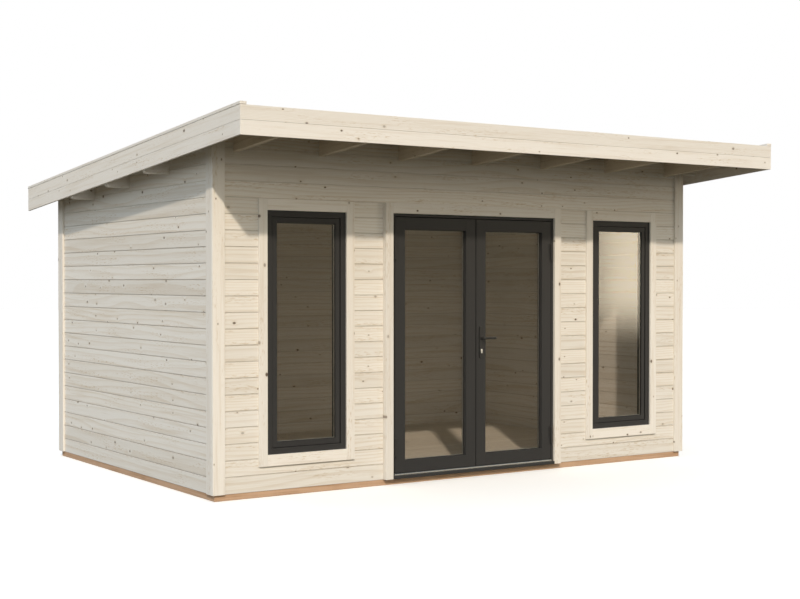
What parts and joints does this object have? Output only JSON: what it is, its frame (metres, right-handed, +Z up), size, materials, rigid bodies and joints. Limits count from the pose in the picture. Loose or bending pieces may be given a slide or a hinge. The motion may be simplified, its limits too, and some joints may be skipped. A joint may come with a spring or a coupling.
{
  "type": "garden office pod",
  "caption": "Timber garden office pod: log-board walls, single-slope roof with a deep front overhang, glazed double doors and tall fixed windows either side.",
  "frame": {"origin": "on the ground under the middle of the roof's outline", "axes": "+X along the front wall to the right as seen from the front, +Y from front to back, +Z up"},
  "size_m": [4.878, 4.042, 2.6482],
  "materials": {
    "wall_logs": "planed softwood logs, clear, with fine grain and knots",
    "trim_boards": "planed softwood boards, clear",
    "roof_timber": "planed softwood, clear",
    "floor_boards": "planed softwood boards, clear",
    "treated_timber": "sawn softwood, impregnated brown",
    "dark_paint": "timber joinery with satin dark grey paint",
    "roof_felt": "mineral-faced roofing felt",
    "glass": "clear float glass",
    "threshold_metal": "mill finish",
    "dark_metal": "satin dark grey coating",
    "lock_steel": "satin nickel"
  },
  "bodies": {
    "cabin": {"wall_front_left": "wall_logs", "wall_front_right": "wall_logs", "wall_front_header": "wall_logs", "wall_left": "wall_logs", "wall_right": "wall_logs", "wall_back": "wall_logs", "corner_boards_front": "trim_boards", "corner_boards_back": "trim_boards", "corner_boards_sides": "trim_boards", "fascia_front": "trim_boards", "fascia_back": "trim_boards", "fascia_left": "trim_boards", "fascia_right": "trim_boards", "roof_edge_strips": "trim_boards", "window_side_trims": "trim_boards", "window_cross_trims": "trim_boards", "door_side_casings": "trim_boards", "door_head_casing": "trim_boards", "purlins": "roof_timber", "front_joists": "roof_timber", "back_joists": "roof_timber", "roof_deck": "roof_timber", "floor_boards": "floor_boards", "bearers_long": "treated_timber", "bearers_cross": "treated_timber", "window_frames": "dark_paint", "window_sashes": "dark_paint", "window_beads": "dark_paint", "door_jambs": "dark_paint", "door_head": "dark_paint", "door_threshold": "dark_paint", "roof_felt": "roof_felt", "window_panes": "glass", "threshold_strip": "threshold_metal", "hinge_pins": "dark_metal"},
    "left_leaf": {"leaf_left_stiles": "dark_paint", "leaf_left_rails": "dark_paint", "leaf_left_panes": "glass", "leaf_left_beads": "dark_paint", "hinge_knuckles_left": "dark_metal"},
    "right_leaf": {"leaf_right_stiles": "dark_paint", "leaf_right_rails": "dark_paint", "leaf_right_panes": "glass", "leaf_right_beads": "dark_paint", "hinge_knuckles_right": "dark_metal", "handle_plates": "dark_metal", "lock_cylinder": "lock_steel"},
    "handle": {"handle_lever": "dark_metal"}
  },
  "joints": [
    {"name": "left_leaf_swing", "type": "hinge", "parent": "cabin", "child": "left_leaf", "pos_m": [-0.7525, -1.238, 1], "axis": [0, 0, -1], "range_deg": [0, 110]},
    {"name": "right_leaf_swing", "type": "hinge", "parent": "cabin", "child": "right_leaf", "pos_m": [0.7525, -1.238, 1], "axis": [0, 0, 1], "range_deg": [0, 110]},
    {"name": "lever_turn", "type": "hinge", "parent": "right_leaf", "child": "handle", "pos_m": [0.049, -1.2, 1.075], "axis": [0, 1, 0], "range_deg": [0, 40], "stiffness_Nm_per_rad": 3, "springref_deg": -20.05}
  ]
}
